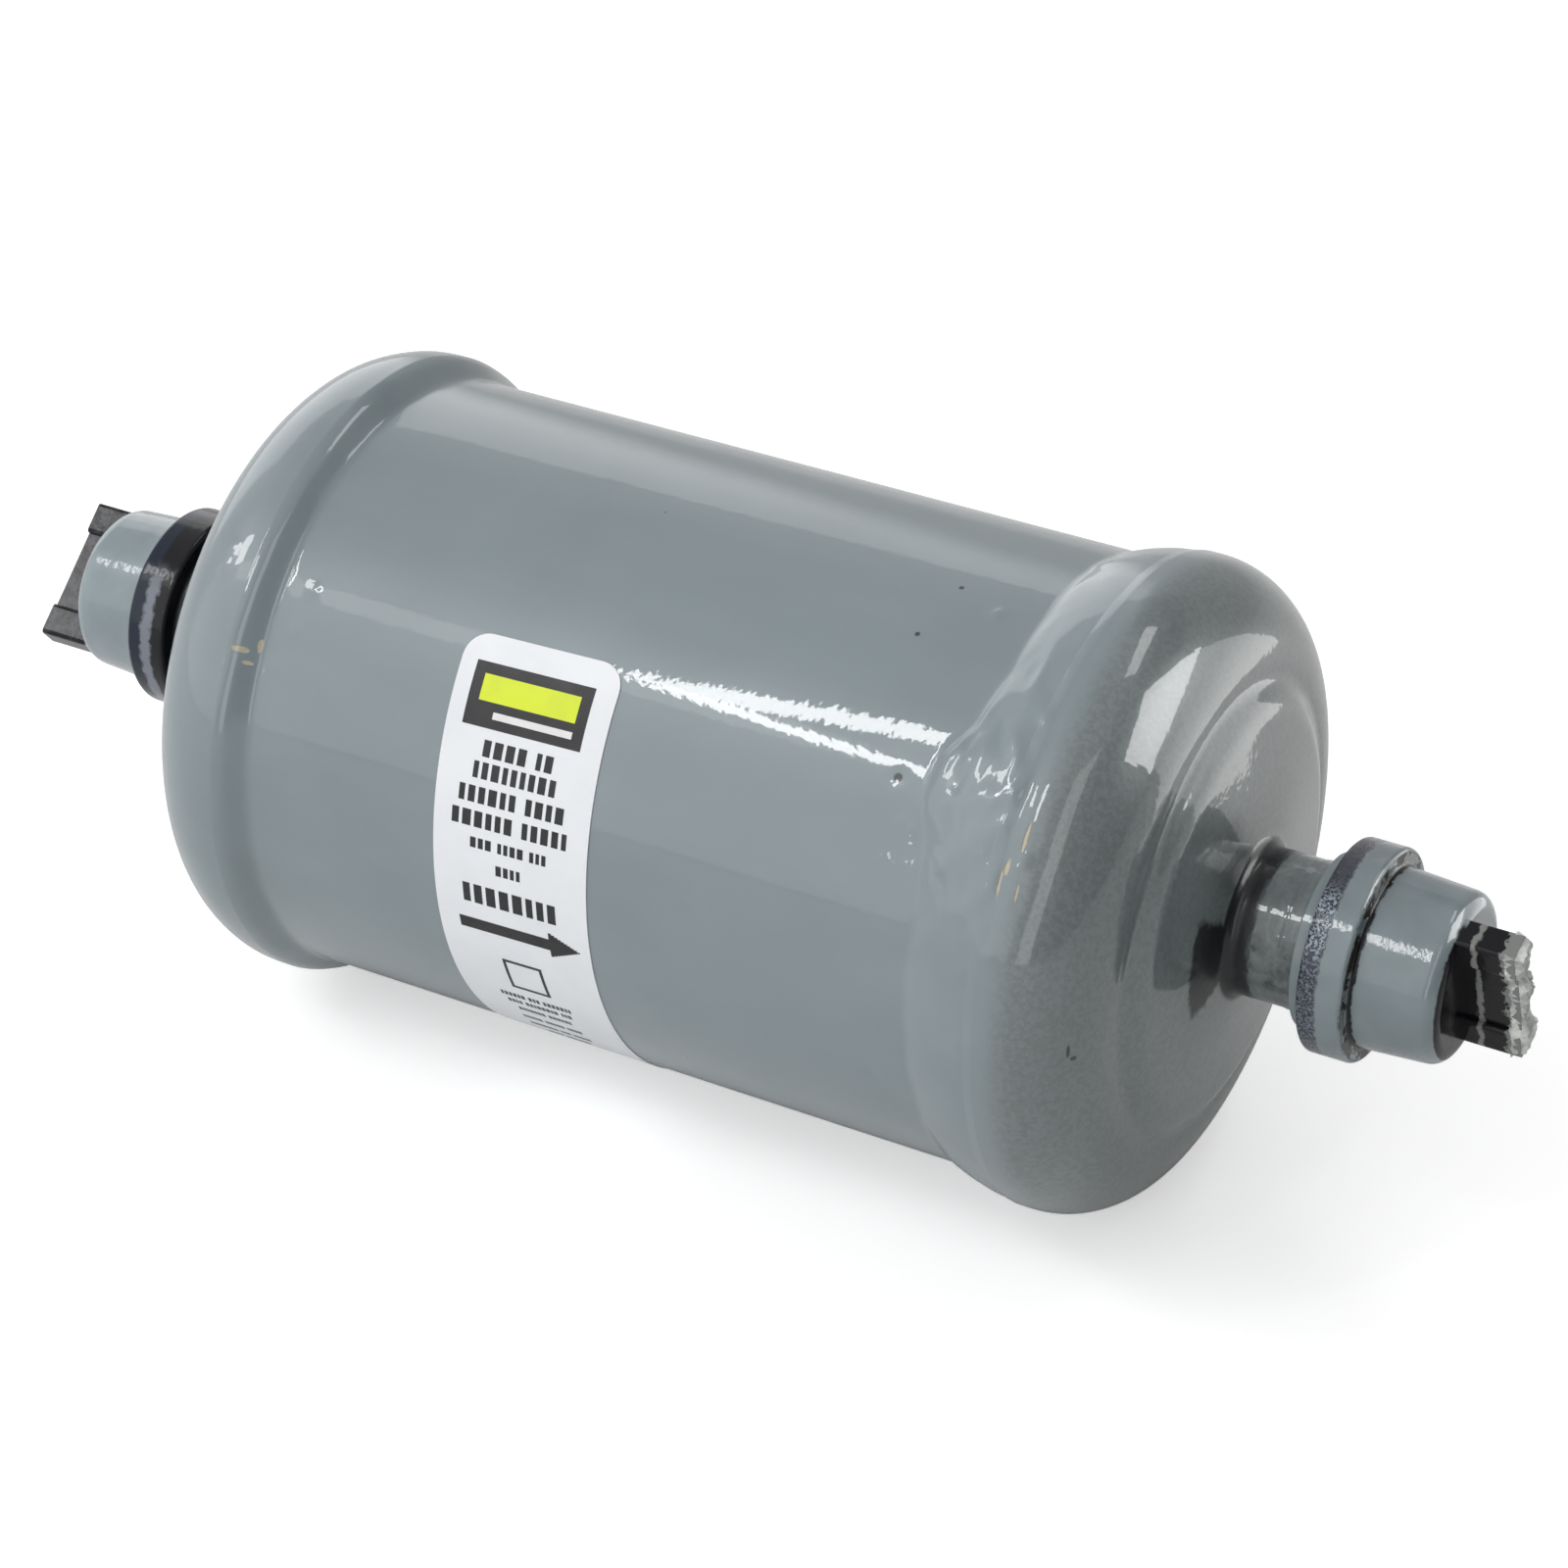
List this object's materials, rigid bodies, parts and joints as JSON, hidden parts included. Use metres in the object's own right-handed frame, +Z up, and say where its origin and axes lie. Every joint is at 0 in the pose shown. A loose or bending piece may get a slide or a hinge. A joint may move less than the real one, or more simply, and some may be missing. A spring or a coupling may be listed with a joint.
{
  "type": "filter drier",
  "caption": "Sealed liquid-line filter drier: grey painted steel shell with domed ends, copper solder sockets and pull-off plastic seal caps.",
  "frame": {"origin": "middle of the shell, on its axis", "axes": "+X along the flow, out of the outlet; +Z up; the axis lies level"},
  "size_m": [0.1918, 0.0762, 0.0762],
  "materials": {
    "grey_paint": "gloss grey enamel",
    "copper": "bare copper",
    "braze": "braze filler under the paint",
    "black_plastic": "moulded black plastic with grey overspray",
    "label_paper": "white label with plain printed fields",
    "desiccant": "moulded desiccant, dull",
    "felt": "pressed felt",
    "filter_fibre": "fine fibre",
    "steel_wire": "bright wire",
    "bare_steel": "plain steel sheet"
  },
  "bodies": {
    "drier": {"shell_tube": "grey_paint", "inlet_end_cap": "grey_paint", "outlet_end_cap": "grey_paint", "inlet_seam_weld": "grey_paint", "outlet_seam_weld": "grey_paint", "inlet_fitting": "copper", "outlet_fitting": "copper", "inlet_braze_ring": "braze", "outlet_braze_ring": "braze", "label": "label_paper", "desiccant_core": "desiccant", "core_gasket": "felt", "inlet_felt_pad": "felt", "filter_pad": "filter_fibre", "outlet_screen": "steel_wire", "outlet_support_plate": "bare_steel", "spring_plate": "bare_steel", "core_spring": "steel_wire"},
    "inlet_cap": {"inlet_seal_cap": "black_plastic"},
    "outlet_cap": {"outlet_seal_cap": "black_plastic"}
  },
  "joints": [
    {"name": "inlet_cap_pull", "type": "slide", "parent": "drier", "child": "inlet_cap", "axis": [-1, 0, 0], "range_m": [0, 0.06]},
    {"name": "outlet_cap_pull", "type": "slide", "parent": "drier", "child": "outlet_cap", "axis": [1, 0, 0], "range_m": [0, 0.06]}
  ]
}
